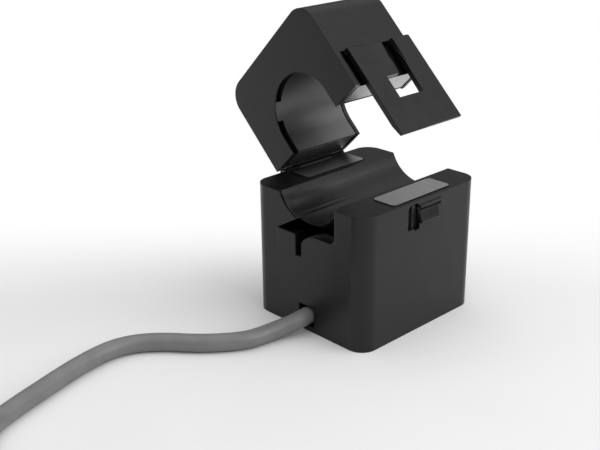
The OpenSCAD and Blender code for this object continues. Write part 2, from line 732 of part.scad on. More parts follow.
// Slice of the lining between two heights, thickened outwards by extra
module liner_section(z0, z1, extra) {
    intersection() {
        difference() {
            arch(liner_r + extra, arch_z, liner_z0);
            arch(arch_r, arch_z, liner_z0 - cut);
        }
        translate([-liner_r - extra, z0]) square([2 * (liner_r + extra), z1 - z0]);
    }
}

// Upper core: an arch whose two feet are the pole faces
module lid_core() {
    color([0.62, 0.62, 0.62]) opened() along_y(core_y0, core_y1) difference() {
        round_top(lid_core_x, lid_core_z0, lid_core_z1, lid_core_top_r);
        arch(lid_core_r, arch_z, lid_core_z0 - cut);
    }
}

// Two bent leaf springs between the upper core and the lid's roof
module core_springs() {
    foot = lid_core_z1 + wrap_gap;
    crown = lid_roof_z - wrap_gap;
    color([0.75, 0.75, 0.78]) opened() for (y = [core_mid_y - core_l / 4, core_mid_y + core_l / 4])
        along_y(y - spring_w / 2, y + spring_w / 2) polygon([
            [-spring_half, foot], [-spring_half + spring_foot, foot],
            [-spring_crown, crown - spring_t], [spring_crown, crown - spring_t],
            [spring_half - spring_foot, foot], [spring_half, foot],
            [spring_half, foot + spring_t], [spring_half - spring_foot, foot + spring_t],
            [spring_crown, crown], [-spring_crown, crown],
            [-spring_half + spring_foot, foot + spring_t], [-spring_half, foot + spring_t]]);
}

// Latch plate: hangs down past the base's wall, with a window that snaps over the catch
module latch_plate() {
    color([0.06, 0.06, 0.065]) opened() difference() {
        along_y(latch_y0, latch_y1) polygon([
            [latch_x0, latch_z1], [latch_x0, latch_z0 + latch_bevel],
            [latch_x0 + latch_bevel_in, latch_z0], [latch_x1, latch_z0], [latch_x1, latch_z1 - ledge_bevel],
            [latch_x1 - ledge_bevel, latch_z1]]);
        along_x(latch_x0 - cut, latch_x1 + cut) latch_window();
        along_y(ledge_y0, latch_win_y0 + slit_r[0]) polygon([
            [latch_x0 + 0.1, latch_z1], [latch_x1 + cut, latch_z1 - ramp_h - cut * ramp_h],
            [latch_x1 + cut, latch_z1 + cut], [latch_x0 + 0.1, latch_z1 + cut]]);
    }
}

// Outline of the latch plate's window with the slit that runs up from it
module latch_window() {
    half = (latch_win_z1 + latch_z1) / 2;
    polygon([
        [latch_win_y0, latch_win_z0], [latch_win_y1, latch_win_z0],
        [latch_win_y0 + slit_r[1], latch_win_z1], [latch_win_y0 + slit_r[0], latch_z1],
        [latch_win_y0 + slit_r[0], latch_z1 + cut], [latch_win_y0 + slit_y[0], latch_z1 + cut],
        [latch_win_y0 + slit_y[0], latch_z1], [latch_win_y0 + slit_y[1], half],
        [latch_win_y0 + slit_y[2], latch_win_z1], [latch_win_y0, latch_win_z1]]);
}

// The lead's sheath, from its clamp to the coil
module cable_sheath() {
    color([0.55, 0.55, 0.55])
        tube(concat([[0, lead_in_y, lead_z], [0, -base_y, lead_z]], lead_route, [coil_first]), lead_r, lead_sides);
}

// The coiled part of the lead, as one unbroken tube
module cable_coil() {
    p = coil_points();
    echo(coil_least_gap = coil_gap(p), coil_length = path_l(p));
    color([0.55, 0.55, 0.55]) tube(p, lead_r, coil_sides);
}

// The lead's tail beyond the coil
module cable_tail() {
    color([0.55, 0.55, 0.55]) tube(concat([coil_last], tail_route), lead_r, lead_sides);
}

// Flat tie round the coil
module cable_tie() {
    mid = (tie_r[0] + tie_r[1]) / 2;
    half = (tie_r[1] - tie_r[0]) / 2;
    color([0.2, 0.2, 0.2]) translate([coil_c.x, coil_c.y, tie_top / 2 + tie_t / 2])
        rotate([0, 0, tie_angle]) translate([mid, 0, 0]) along_y(-tie_w / 2, tie_w / 2) difference() {
            round_rect(half + tie_t, tie_top / 2 + tie_t / 2, 1.2 + tie_t);
            round_rect(half, tie_top / 2 - tie_t / 2, 1.2);
        }
}

// Tapered sleeve at the end of the sheath
module end_boot() {
    color([0.1, 0.1, 0.1]) translate(end) rotate([-90, 0, 0])
        cylinder(h = boot_l, r1 = lead_r, r2 = boot_tip_r);
}

// The two cores beyond the sleeve
module end_cores() {
    for (s = [-1, 1]) color(s < 0 ? [0.75, 0.12, 0.1] : [0.9, 0.9, 0.88])
        tube([for (p = end_core_route) end + [s * p.x, p.y, p.z]], core_wire_r, lead_sides);
}

// Crimped ferrules with plastic collars
module end_ferrules() {
    last = end_core_route[len(end_core_route) - 1];
    color([0.75, 0.75, 0.75]) for (s = [-1, 1])
        translate(end + [s * last.x, last.y, last.z]) rotate([-90, 0, 0]) {
            cylinder(h = collar_l, r1 = collar_r, r2 = collar_r - 0.2);
            cylinder(h = collar_l + ferrule_l, r = ferrule_r);
        }
}

base_housing();
bottom_cover();
base_core();
core_pads();
base_bobbin();
secondary_winding();
winding_tape();
winding_leads();
solder_terminals();
circuit_board();
burden_resistor();
surge_diode();
lead_cores();
cable_clamp();
clamp_screws();
hinge_pin();
lid_cover();
lid_liner();
lid_core();
core_springs();
latch_plate();
cable_sheath();
cable_coil();
cable_tail();
cable_tie();
end_boot();
end_cores();
end_ferrules();
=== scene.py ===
# %% [markdown]
# A split core current sensor, seen as a product photograph: a black moulded base and lid, two
# steel cores with ground pole faces, and a grey lead. The solids come from the CAD model and stay
# where they are. This script gives them rounded edges and finishes, makes the lead, and sets the
# light. Sizes and routes are in millimetres, and MM turns them into the metres that Blender works
# in. The camera and the lamps are given in Blender's own units.

import bmesh
import bpy
import numpy as np
from mathutils import Matrix


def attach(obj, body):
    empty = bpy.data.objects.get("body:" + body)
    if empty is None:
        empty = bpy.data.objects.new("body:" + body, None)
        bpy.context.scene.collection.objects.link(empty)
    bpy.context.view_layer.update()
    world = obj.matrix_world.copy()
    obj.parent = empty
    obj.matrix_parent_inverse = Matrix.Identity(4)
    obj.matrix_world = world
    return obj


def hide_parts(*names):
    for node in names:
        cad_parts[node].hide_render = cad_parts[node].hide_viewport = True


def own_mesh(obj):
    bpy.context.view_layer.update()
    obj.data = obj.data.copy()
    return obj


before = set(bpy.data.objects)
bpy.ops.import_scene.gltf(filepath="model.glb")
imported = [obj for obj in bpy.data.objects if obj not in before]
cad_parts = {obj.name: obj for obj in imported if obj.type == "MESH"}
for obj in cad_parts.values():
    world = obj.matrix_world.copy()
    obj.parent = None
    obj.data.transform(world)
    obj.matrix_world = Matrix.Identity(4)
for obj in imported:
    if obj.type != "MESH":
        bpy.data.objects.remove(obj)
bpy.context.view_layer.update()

MM = 0.001

# %% [markdown]
# The camera stands where the photographer's did. Its direction is a heading in plan and a tilt
# down, and the picture's right and up follow from those by two cross products. A roll of less than
# one degree turns right and up about the line of sight. The three directions are the columns of
# the camera's matrix, so no constraint is needed to aim it.

# %% Camera
EYE = np.array([0.12623, -0.13797, 0.09386])
HEADING, TILT, ROLL = np.radians([-46.499, 22.190, -0.692])
LENS, SENSOR_WIDTH = 59.85, 36.0
NEAREST, FARTHEST = 0.005, 20.0


def camera_axes(heading, tilt, roll):
    """Right, up and look: look from the two angles, right level, up square to both, then rolled."""
    look = np.array([np.sin(heading) * np.cos(tilt), np.cos(heading) * np.cos(tilt), -np.sin(tilt)])
    level = np.array([np.cos(heading), -np.sin(heading), 0.0])
    upright = np.cross(level, look)
    right = np.cos(roll) * level + np.sin(roll) * upright
    return right, np.cross(right, look), look


def placed(axes, place):
    """The matrix of an object: its three axes are the first columns and its place is the last."""
    rows = np.column_stack([*axes, place])
    return Matrix([*rows, [0, 0, 0, 1]])


def place_camera():
    """A camera object whose three axes are right, up and away from the look direction."""
    right, up, look = camera_axes(HEADING, TILT, ROLL)
    data = bpy.data.cameras.new("product_camera")
    data.sensor_width = SENSOR_WIDTH
    data.lens = LENS
    data.clip_start, data.clip_end = NEAREST, FARTHEST
    camera = bpy.data.objects.new("product_camera", data)
    bpy.context.collection.objects.link(camera)
    camera.matrix_world = placed((right, up, -look), EYE)
    bpy.context.scene.camera = camera
    return camera


camera = place_camera()
print("camera at", np.round(EYE, 3), "with a lens of", round(camera.data.lens, 2), "mm")

# %% [markdown]
# The lead is one round cable. Its route is the same list of points as in the CAD source: out of
# the base, down to the table and along the curve that the photograph shows. After the coil a short
# tail runs to the stripped end.

# %% Route of the lead
LEAD_R = 1.75
LEAD_START = np.array([[0, -12.65, 3.15], [0, -16.65, 3.15]])
LEAD_ROUTE = np.array([
    [0, -18.4, 3.05], [-0.5, -20.4, 2.6], [-1.3, -22.6, 2.1], [-1.9, -24.9, 1.85],
    [-2.3, -27.2, 1.75], [-2.9, -29.6, 1.75], [-4.1, -31.8, 1.75], [-5.7, -34, 1.75],
    [-7.7, -36.3, 1.75], [-9.9, -38.4, 1.75], [-12.2, -40.3, 1.75], [-14.3, -42.4, 1.75],
    [-16.1, -44.7, 1.75], [-17.4, -47.4, 1.75], [-18, -50.3, 1.75], [-17.9, -53.3, 1.75],
    [-17.4, -56.8, 1.75], [-16.6, -60.3, 1.75], [-15.6, -63.9, 1.75], [-14.5, -67.6, 1.75],
    [-13.4, -71.3, 1.75], [-12.1, -75.2, 1.75], [-11.4, -77.03, 1.75], [-10.3, -78.94, 1.8],
    [-8.95, -80.66, 1.9], [-7.33, -82.14, 2.05], [-5.7, -83.22, 2.15]])
TAIL_ROUTE = np.array([
    [-33.3, -129.6, 6], [-36.1, -127.5, 5.55], [-38.7, -125, 4.8], [-40.6, -122, 3.9],
    [-42.1, -118.7, 3], [-43, -115.2, 2.25], [-43.4, -111.7, 1.85], [-43.5, -109.6, 1.75],
    [-43.5, -107, 1.75], [-43.5, -104.4, 1.75]])
print("points before the coil:", len(LEAD_START) + len(LEAD_ROUTE), "and after it:", len(TAIL_ROUTE))

# %% [markdown]
# Most of the lead is wound in a coil, out of the camera's view. Its turns are worked out by a
# formula and not listed: a spiral that runs inwards on the table, climbs by one layer half way
# along, and runs outwards again on top.

# %% Coil
COIL_CENTRE = np.array([-14.0, -109.6])
COIL_RADIUS = 27.0
COIL_START = 60.0
COIL_TURNS = 6.5
COIL_PITCH = 4.0
COIL_HEIGHT = 2.15
COIL_CLIMB = 3.95
CLIMB_TURNS = 0.5
POINTS_PER_TURN = 24


def coil_heading(turn):
    """Direction of travel, clockwise: square to the radius at that turn."""
    angle = np.radians(COIL_START - 360 * turn)
    return np.array([np.sin(angle), -np.cos(angle), 0.0])


def coil_route():
    """A spiral in and out with a short straight end on each side. The radius falls and rises with the
    turns left to the nearer end, and the height climbs evenly over half a turn where it reverses."""
    turn = np.arange(COIL_TURNS * POINTS_PER_TURN + 1) / POINTS_PER_TURN
    angle = np.radians(COIL_START - 360 * turn)
    radius = COIL_RADIUS - COIL_PITCH * np.minimum(turn, COIL_TURNS - turn)
    climbed = np.clip((turn - COIL_TURNS / 2) / CLIMB_TURNS + 0.5, 0, 1)
    coil = np.column_stack([
        COIL_CENTRE[0] + radius * np.cos(angle),
        COIL_CENTRE[1] + radius * np.sin(angle),
        COIL_HEIGHT + COIL_CLIMB * climbed])
    before = coil[0] - 2 * LEAD_R * coil_heading(0)
    after = coil[-1] + 2 * LEAD_R * coil_heading(COIL_TURNS)
    return np.vstack([before, coil, after])


coil_points = coil_route()
print("points in the coil:", len(coil_points))

# %% [markdown]
# A smooth curve through all the points takes the corners out. A Catmull-Rom spline is chosen
# because it passes through every point. Its length is the sum of its short steps.

# %% Smooth path of the lead
LEAD_STEPS = 3


def smooth(points, steps):
    """Catmull-Rom spline: each stretch is a cubic in t, whose slope at a point is half the step
    between that point's neighbours. The ends are mirrored, so that they have neighbours too."""
    padded = np.vstack([2 * points[0] - points[1], points, 2 * points[-1] - points[-2]])
    before, start, end, after = (padded[k:len(padded) - 3 + k, None, :] for k in range(4))
    t = (np.arange(steps) / steps)[None, :, None]
    bend = 2 * before - 5 * start + 4 * end - after
    twist = 3 * start - before - 3 * end + after
    curve = 0.5 * (2 * start + (end - before) * t + bend * t**2 + twist * t**3)
    return np.vstack([curve.reshape(-1, 3), points[-1]])


lead_path = smooth(np.vstack([LEAD_START, LEAD_ROUTE, coil_points, TAIL_ROUTE]), LEAD_STEPS)

# %% [markdown]
# A tube is a grid of points: one parameter runs along the path and the other round it. At each
# point of the path a ring is laid square to it, from a level side direction and the direction
# square to that. A bevelled curve object could make the tube too, but a grid has a known number of
# faces. The whole grid is one numpy array, and its quads are counted off from the grid.

# %% The lead as a tube
LEAD_SIDES = 20


def new_piece(name, points, faces, smooth_faces=True):
    """A mesh object at the origin from points in millimetres and a list of faces."""
    mesh = bpy.data.meshes.new(name)
    mesh.from_pydata((np.asarray(points) * MM).tolist(), [], faces)
    mesh.polygons.foreach_set("use_smooth", np.full(len(mesh.polygons), smooth_faces))
    mesh.update()
    piece = bpy.data.objects.new(name, mesh)
    bpy.context.collection.objects.link(piece)
    return piece


def ring_faces(rows, sides, first=0):
    """Quads between neighbouring rings of a grid, and one flat face on each end. A point's number is
    its row times the sides plus its step round the ring, counted on from the first."""
    row, step = np.meshgrid(np.arange(rows - 1), np.arange(sides), indexing="ij")
    here, beside = row * sides + step, row * sides + (step + 1) % sides
    quads = np.stack([here, beside, beside + sides, here + sides], -1).reshape(-1, 4)
    start_cap = np.arange(sides)[::-1]
    end_cap = np.arange(sides) + (rows - 1) * sides
    return [*(quads + first).tolist(), (start_cap + first).tolist(), (end_cap + first).tolist()]


def tube_points(path, radius, sides):
    """Rings round a path: a point is the path plus the radius times cosine of the angle on the side
    direction and sine on the up direction. Side is level, and up is square to side and path."""
    along = np.gradient(path, axis=0)
    along /= np.linalg.norm(along, axis=1)[:, None]
    side = np.cross(along, [0.0, 0.0, 1.0])
    side /= np.linalg.norm(side, axis=1)[:, None]
    up = np.cross(side, along)
    angle = (np.arange(sides) * 2 * np.pi / sides)[None, :, None]
    ring = np.cos(angle) * side[:, None] + np.sin(angle) * up[:, None]
    return (path[:, None] + radius * ring).reshape(-1, 3)


lead_grid = tube_points(lead_path, LEAD_R, LEAD_SIDES)
lead = new_piece("lead", lead_grid, ring_faces(len(lead_path), LEAD_SIDES))
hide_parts("cable_sheath", "cable_coil", "cable_tail")
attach(lead, "base")
print("lead:", len(lead.data.polygons), "faces")

# %% [markdown]
# The lead ends in a shrunk sleeve. It is a profile of distances and radii, turned about the lead's
# own line. The profile is a sum of three simple curves: a taper, a low bead and rounded ends.

# %% Sleeve on the lead's end
LEAD_END = TAIL_ROUTE[-1]
TURNED_SIDES = 24
SLEEVE_LENGTH, SLEEVE_ROWS, SLEEVE_TAPER = 4.0, 25, 0.45
BEAD_HEIGHT, BEAD_PLACE, BEAD_WIDTH = 0.1, 0.22, 0.05
ROUNDED_SHARE, ROUNDED_DEPTH = 0.06, 0.25


def turned_points(start, profile):
    """A profile of (distance, radius) pairs turned about the line along +Y from start: across is the
    radius times the cosine of the angle, and down is the radius times its sine."""
    distance, radius = np.asarray(profile).T[:, :, None]
    angle = (np.arange(TURNED_SIDES) * 2 * np.pi / TURNED_SIDES)[None, :]
    along = np.broadcast_to(distance, (len(distance), TURNED_SIDES))
    ring = np.stack([np.cos(angle) * radius, along, -np.sin(angle) * radius], -1)
    return (start + ring).reshape(-1, 3)


def sleeve_profile():
    """By the share t of the length: the sheath's radius less a half cosine, plus a bell curve for the
    bead, less a step at both ends that a square root rounds off."""
    t = np.linspace(0, 1, SLEEVE_ROWS)
    taper = SLEEVE_TAPER * (1 - np.cos(np.pi * t)) / 2
    bead = BEAD_HEIGHT * np.exp(-((t - BEAD_PLACE) / BEAD_WIDTH) ** 2)
    ends = np.clip(np.minimum(t, 1 - t) / ROUNDED_SHARE, 0, 1) ** 0.5
    return np.column_stack([SLEEVE_LENGTH * t, LEAD_R - taper + bead - ROUNDED_DEPTH * (1 - ends)])


sleeve_grid = turned_points(LEAD_END, sleeve_profile())
sleeve = new_piece("end_sleeve", sleeve_grid, ring_faces(SLEEVE_ROWS, TURNED_SIDES))
print("sleeve:", len(sleeve.data.polygons), "faces")

# %% [markdown]
# Two coloured cores leave the sleeve side by side, with a crimped ferrule on each. The cores are
# tubes like the lead and the ferrules are turned like the sleeve. Each pair is one mesh, made of
# the same grid on both sides of the sleeve's line.

# %% Stripped cores and ferrules
CORE_R, CORE_STEPS, CORE_SIDES = 0.55, 5, 14
CORE_ROUTE = np.array([
    [0.6, 3.4, 0], [0.6, 6, 0], [1.2, 9.5, -0.3], [2, 13, -0.6], [2.3, 16, -0.65], [2.3, 18, -0.65]])
FERRULE_PROFILE = [
    (0, 0.62), (0, 1.02), (0.1, 1.1), (1.9, 1.0), (2.3, 0.92), (2.4, 0.78), (2.4, 0.7), (3.2, 0.7),
    (3.4, 0.62), (4.2, 0.6), (4.5, 0.64), (5.4, 0.6), (5.7, 0.7), (8.2, 0.7), (8.4, 0.62), (8.4, 0.4)]
LEFT_AND_RIGHT = np.array([[-1, 1, 1], [1, 1, 1]])


def pair(name, grids, sides):
    """One mesh of two equal grids of rings, with so many sides to a ring. The faces of the second are
    counted on from the points of the first."""
    faces = []
    for number, grid in enumerate(grids):
        faces += ring_faces(len(grid) // sides, sides, first=number * len(grid))
    return new_piece(name, np.vstack(grids), faces)


core_path, core_tip = smooth(CORE_ROUTE, CORE_STEPS), CORE_ROUTE[-1]
core_grids = [tube_points(LEAD_END + core_path * side, CORE_R, CORE_SIDES) for side in LEFT_AND_RIGHT]
ferrule_grids = [turned_points(LEAD_END + core_tip * side, FERRULE_PROFILE) for side in LEFT_AND_RIGHT]
stripped_cores = pair("stripped_cores", core_grids, CORE_SIDES)
ferrules = pair("crimped_ferrules", ferrule_grids, TURNED_SIDES)
END_PIECES = (
    (sleeve, "end_boot", "tie_black"),
    (stripped_cores, "end_cores", "core_insulation"),
    (ferrules, "end_ferrules", "tin"))
for piece, node, slot in END_PIECES:
    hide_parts(node)
    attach(piece, "base")
print("cores and ferrules:", [len(p.data.polygons) for p in (stripped_cores, ferrules)], "faces")

# %% [markdown]
# The CAD solids come as loose triangles. Each shell is copied, its triangles are joined into flat
# faces, all of it is shaded smooth, and weighted normals keep the flats flat. On plain pieces the
# edges that turn by more than a set angle get a narrow bevel. The mouldings have small steps that a
# bevel would run into, so there such edges are marked sharp, and the finish rounds them.

# %% Joined copies of the CAD shells
MERGE_REACH = 0.002
FLAT_ANGLE, EDGE_ANGLE = np.radians(1.0), np.radians(32)
CORE_EDGE, TIE_EDGE = 0.1, 0.08


def merged_copy(node, name):
    """A copy of a CAD node with its triangles joined into flat faces, all shaded smooth."""
    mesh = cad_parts[node].data.copy()
    work = bmesh.new()
    work.from_mesh(mesh)
    bmesh.ops.remove_doubles(work, verts=work.verts, dist=MERGE_REACH * MM)
    bmesh.ops.dissolve_limit(work, angle_limit=FLAT_ANGLE, verts=work.verts, edges=work.edges)
    work.to_mesh(mesh)
    work.free()
    mesh.polygons.foreach_set("use_smooth", np.ones(len(mesh.polygons), bool))
    piece = bpy.data.objects.new(name, mesh)
    bpy.context.collection.objects.link(piece)
    return piece


def finish_edges(piece, width):
    """A bevel of a width in millimetres, or sharp edges if the width is zero, then weighted normals."""
    if width:
        bevel = piece.modifiers.new("edges", "BEVEL")
        bevel.width = width * MM
        bevel.segments = 2
        bevel.limit_method = "ANGLE"
        bevel.angle_limit = EDGE_ANGLE
        bevel.miter_outer = "MITER_ARC"
    else:
        piece.data.set_sharp_from_angle(angle=EDGE_ANGLE)
    normals = piece.modifiers.new("normals", "WEIGHTED_NORMAL")
    normals.keep_sharp = True


def joined(node, name, body, width=0.0):
    """A joined copy of a CAD node that stands for it, on its body and in its material slot."""
    piece = merged_copy(node, name)
    finish_edges(piece, width)
    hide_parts(node)
    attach(piece, body)
    return piece


base_shell = joined("base_housing", "base_shell", "base")
floor_plate = joined("bottom_cover", "floor_plate", "base")
lid_shell = joined("lid_cover", "lid_shell", "lid")
lining = joined("lid_liner", "lining", "lid")
latch = joined("latch_plate", "latch", "latch")
lower_core = joined("base_core", "lower_core", "base", CORE_EDGE)
upper_core = joined("lid_core", "upper_core", "upper_core", CORE_EDGE)
tie_band = joined("cable_tie", "tie_band", "base", TIE_EDGE)
shells = (base_shell, floor_plate, lid_shell, lining, latch, lower_core, upper_core, tie_band)
print("faces after joining:", [len(shell.data.polygons) for shell in shells])

# %% [markdown]
# Only the cores' pole faces, which meet when the lid is shut, are ground down to the bare metal.
# They are found by their normals: the lower core's look straight up, and the upper core's look down
# out of the lid, which stands open by LID_OPEN. The yokes' inner sides and a few small steps look
# the same way and are marked with them, but they lie inside. A number stored on each face tells the
# finish which ones are marked, so the cores need no second material.

# %% Ground faces of the cores
STRAIGHT_UP = np.array([0.0, 0.0, 1.0])
LID_OPEN = np.radians(45.3)
LID_UP = np.array([-np.sin(LID_OPEN), 0.0, np.cos(LID_OPEN)])
SAME_WAY = 0.99


def mark_ground_faces(piece, pole_way):
    """Stores 1 on each face that looks along the pole's direction and 0 on the others, and counts the
    ones. Two directions agree when the dot product of their unit vectors is close to one."""
    normals = np.empty(3 * len(piece.data.polygons))
    piece.data.polygons.foreach_get("normal", normals)
    ground = (normals.reshape(-1, 3) @ pole_way > SAME_WAY).astype(float)
    piece.data.attributes.new("ground", "FLOAT", "FACE").data.foreach_set("value", ground)
    return int(ground.sum())


print("ground faces on the lower core:", mark_ground_faces(lower_core, STRAIGHT_UP))
print("ground faces on the upper core:", mark_ground_faces(upper_core, -LID_UP))

# %% [markdown] Two leaf springs lie between the upper core and the roof of the lid.

# %% Leaf springs
FLOAT_TRAVEL = 0.4
leaf_springs = joined("core_springs", "leaf_springs", "lid")


def flatten_with_core(piece):
    """The share of the height that is left is (height - travel) / height, measured along the way that
    the core moves."""
    points = np.empty(3 * len(piece.data.vertices))
    piece.data.vertices.foreach_get("co", points)
    along = points.reshape(-1, 3) @ LID_UP
    keep = float(1 - FLOAT_TRAVEL * MM / (along.max() - along.min()))
    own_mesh(piece)
    return keep


print("springs keep", round(flatten_with_core(leaf_springs), 3), "of their height")

# %% [markdown] A real lead bends. A chain of small bodies could stand for it, but it would need
# many of them.

# %% [markdown]
# Every finish is built from shader nodes. A node is made, its numbers are set and its inputs are
# linked, which takes several lines each time, so one small function does all three.

# %% Adding a node


def add_node(tree, kind, inputs, operation=None):
    """A new node. Each of its inputs that is named is set to a number or a colour, or linked to another
    node's socket."""
    node = tree.nodes.new(kind)
    if operation:
        node.operation = operation
    for name, value in inputs.items():
        if isinstance(value, bpy.types.NodeSocket):
            tree.links.new(value, node.inputs[name])
        else:
            node.inputs[name].default_value = value
    return node


def grey(level):
    """A colour with the same level of red, green and blue."""
    return (level, level, level)


print("a colour is three levels, as in", grey(0.5))

# %% [markdown]
# A finish is a material with one shader. Noise in object coordinates varies its colour and its
# roughness and feeds a bump. Numbers that are the same all over a surface are set on the shader
# itself. A class keeps the calls short, so that each finish below reads as a recipe.

# %% Finishes
NOISE_LOW, NOISE_HIGH = 0.3, 0.7


class Finish:
    """A material with one shader, and short calls that vary its colour, roughness and normal."""

    def __init__(self, name, roughness, metallic=0.0, specular=0.5):
        self.material = bpy.data.materials.new(name)
        self.material.use_nodes = True
        self.tree = self.material.node_tree
        self.shader = next(n for n in self.tree.nodes if n.type == "BSDF_PRINCIPLED")
        self.shader.inputs["Roughness"].default_value = roughness
        self.shader.inputs["Metallic"].default_value = metallic
        self.shader.inputs["Specular IOR Level"].default_value = specular
        self.place = self.tree.nodes.new("ShaderNodeTexCoord").outputs["Object"]
        self.roughness = roughness

    def noise(self, size, detail=3.0, place=None):
        """Noise whose features are about size millimetres across. Most of it lies between NOISE_LOW and
        NOISE_HIGH, where the next two calls expect it."""
        inputs = {"Vector": place or self.place, "Scale": 1.0 / (size * MM), "Detail": detail}
        return add_node(self.tree, "ShaderNodeTexNoise", inputs).outputs["Fac"]

    def colour(self, value, dark, light, least=NOISE_LOW, most=NOISE_HIGH):
        """A colour that runs from dark to light as the value runs from least to most."""
        node = add_node(self.tree, "ShaderNodeValToRGB", {"Fac": value})
        for element, position, shade in zip(node.color_ramp.elements, (least, most), (dark, light)):
            element.position = position
            element.color = (*shade, 1.0)
        return node.outputs["Color"]

    def between(self, value, low, high, least=NOISE_LOW, most=NOISE_HIGH):
        """A number that runs from low to high as the value runs from least to most."""
        inputs = {"Value": value, "From Min": least, "From Max": most, "To Min": low, "To Max": high}
        return add_node(self.tree, "ShaderNodeMapRange", inputs).outputs["Result"]

    def vary_roughness(self, value, less=0.85, more=1.15):
        """Lets the roughness run from less to more times its own level with the value."""
        self.feed("Roughness", self.between(value, self.roughness * less, self.roughness * more))

    def bump(self, value, height, over=None):
        """Adds relief of a height in millimetres, over another normal if there is one."""
        inputs = {"Height": value, "Strength": 1.0, "Distance": height * MM}
        if over:
            inputs["Normal"] = over
        self.feed("Normal", add_node(self.tree, "ShaderNodeBump", inputs).outputs["Normal"])

    def feed(self, socket, value):
        """Connects a value to one of the shader's sockets."""
        self.tree.links.new(value, self.shader.inputs[socket])


print("calls of a finish:", [name for name in vars(Finish) if not name.startswith("_")])

# %% [markdown]
# A piece wears a finish by having its material and no other. The CAD solids that are shown as they
# are, inside the sensor, are given theirs by node name.

# %% Putting a finish on pieces


def wear(*pieces_and_finish):
    """Puts the last argument's material on the other arguments, which are pieces or CAD node names."""
    *pieces, finish = pieces_and_finish
    for piece in pieces:
        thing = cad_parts[piece] if isinstance(piece, str) else piece
        thing.data.materials.clear()
        thing.data.materials.append(finish.material)


print("CAD nodes to dress:", len(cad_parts))

# %% [markdown]
# The housing is a black moulding with a soft gloss. Black plastic owes nearly all its light to
# reflection: about four percent of what stands in front of it. The colour is close to nothing, the
# roughness has faint cloudy patches, and the relief is a fine mould grain. A Bevel node rounds the
# edges in the shading alone, which works on steps of any size.

# %% Black moulding
EDGE_RADIUS = 0.25
DEEP_BLACK, SOFT_BLACK = (0.004, 0.004, 0.0042), (0.006, 0.006, 0.0063)


def round_edges(finish, radius):
    """A normal that is blended across sharp edges, as if they were round, by a radius in millimetres."""
    node = add_node(finish.tree, "ShaderNodeBevel", {"Radius": radius * MM})
    node.samples = 6
    return node.outputs["Normal"]


def black_moulding(name, roughness, grain):
    """Near black, with cloudy roughness, fine grain and softly rounded edges."""
    finish = Finish(name, roughness, specular=0.36)
    finish.feed("Base Color", finish.colour(finish.noise(size=6.0), DEEP_BLACK, SOFT_BLACK))
    patches = finish.noise(size=3.0, detail=5.0)
    finish.vary_roughness(patches, less=0.85, more=1.2)
    finish.bump(finish.noise(size=0.12, detail=2.0), grain, over=round_edges(finish, EDGE_RADIUS))
    return finish


housing_black = black_moulding("housing_black", roughness=0.32, grain=0.002)
wear(base_shell, floor_plate, lid_shell, latch, "cable_clamp", housing_black)
print("black moulding on", len(housing_black.tree.nodes), "nodes")

# %% [markdown]
# The cores' pole faces are ground steel. Grinding leaves fine scratches along one direction, so
# the noise is drawn out along them and stays fine across them. The cores' sides keep their black
# lacquer: the number stored on each face tells the two apart. Where other surfaces stand close
# around the steel, its colour is darkened as painted shade, as in the corner by the hinge. The lining,
# the pin, the screws and the springs are the same metal with another tone and gloss.

# %% Ground steel
SCRATCH_STRETCH = (0.03, 1.0, 1.0)
# Reach and levels of the painted shade that darkens the steel's colour in corners.
SHADE_REACH = 16.0
SHADE_LEVEL = 0.3
SHADE_FROM, SHADE_TO = 0.2, 0.95
LACQUER_LEVEL = 0.03


def scaled(finish, colour, factor):
    """A colour times a number."""
    inputs = {"Vector": colour, "Scale": factor}
    return add_node(finish.tree, "ShaderNodeVectorMath", inputs, "SCALE").outputs["Vector"]


def painted_corner_shade(finish, colour):
    """A colour with painted shade: darkened where other surfaces stand close around. The Ambient
    Occlusion
    node tells how open a spot is: the factor is SHADE_LEVEL up to SHADE_FROM of it, and rises to one at
    SHADE_TO."""
    # Painted shade: ambient occlusion darkens the steel's colour in corners and hollows.
    enclosed = add_node(finish.tree, "ShaderNodeAmbientOcclusion", {"Distance": SHADE_REACH * MM})
    enclosed.samples = 12
    painted_shade = finish.between(enclosed.outputs["AO"], SHADE_LEVEL, 1.0, SHADE_FROM, SHADE_TO)
    return scaled(finish, colour, painted_shade)


def ground_steel(name, tone, roughness, lacquered=False):
    """Metal with scratches along X, made of noise that is drawn out about thirty times, and painted
    shade in corners. Where it is lacquered, only the faces that are marked as ground show the metal."""
    finish = Finish(name, roughness, metallic=1.0)
    inputs = {"Vector": finish.place, "Scale": SCRATCH_STRETCH}
    stretched = add_node(finish.tree, "ShaderNodeMapping", inputs).outputs["Vector"]
    scratches = finish.noise(size=0.35, detail=4.0, place=stretched)
    colour = painted_corner_shade(finish, finish.colour(scratches, grey(tone * 0.85), grey(tone * 1.1)))
    if lacquered:
        attribute = finish.tree.nodes.new("ShaderNodeAttribute")
        attribute.attribute_name = "ground"
        ground = attribute.outputs["Fac"]
        finish.feed("Metallic", ground)
        colour = scaled(finish, colour, finish.between(ground, LACQUER_LEVEL, 1.0, 0.0, 1.0))
    finish.feed("Base Color", colour)
    finish.vary_roughness(scratches, less=0.8, more=1.25)
    finish.bump(scratches, height=0.003)
    return finish


core_steel = ground_steel("core_steel", tone=0.58, roughness=0.35, lacquered=True)
liner_steel = ground_steel("liner_steel", tone=0.145, roughness=0.45)
bright_steel = ground_steel("bright_steel", tone=0.5, roughness=0.25)
wear(lower_core, upper_core, core_steel)
wear(lining, liner_steel)
wear("hinge_pin", "clamp_screws", leaf_springs, bright_steel)
print("steel on the cores, lining, pin, screws and springs")

# %% [markdown]
# The lead's sheath is smooth grey vinyl. It has a slight sheen, a faint mottling and a very low
# ripple that the two twisted cores press into it. Each of the three varies by itself, so each has
# a noise of its own size.

# %% Grey sheath


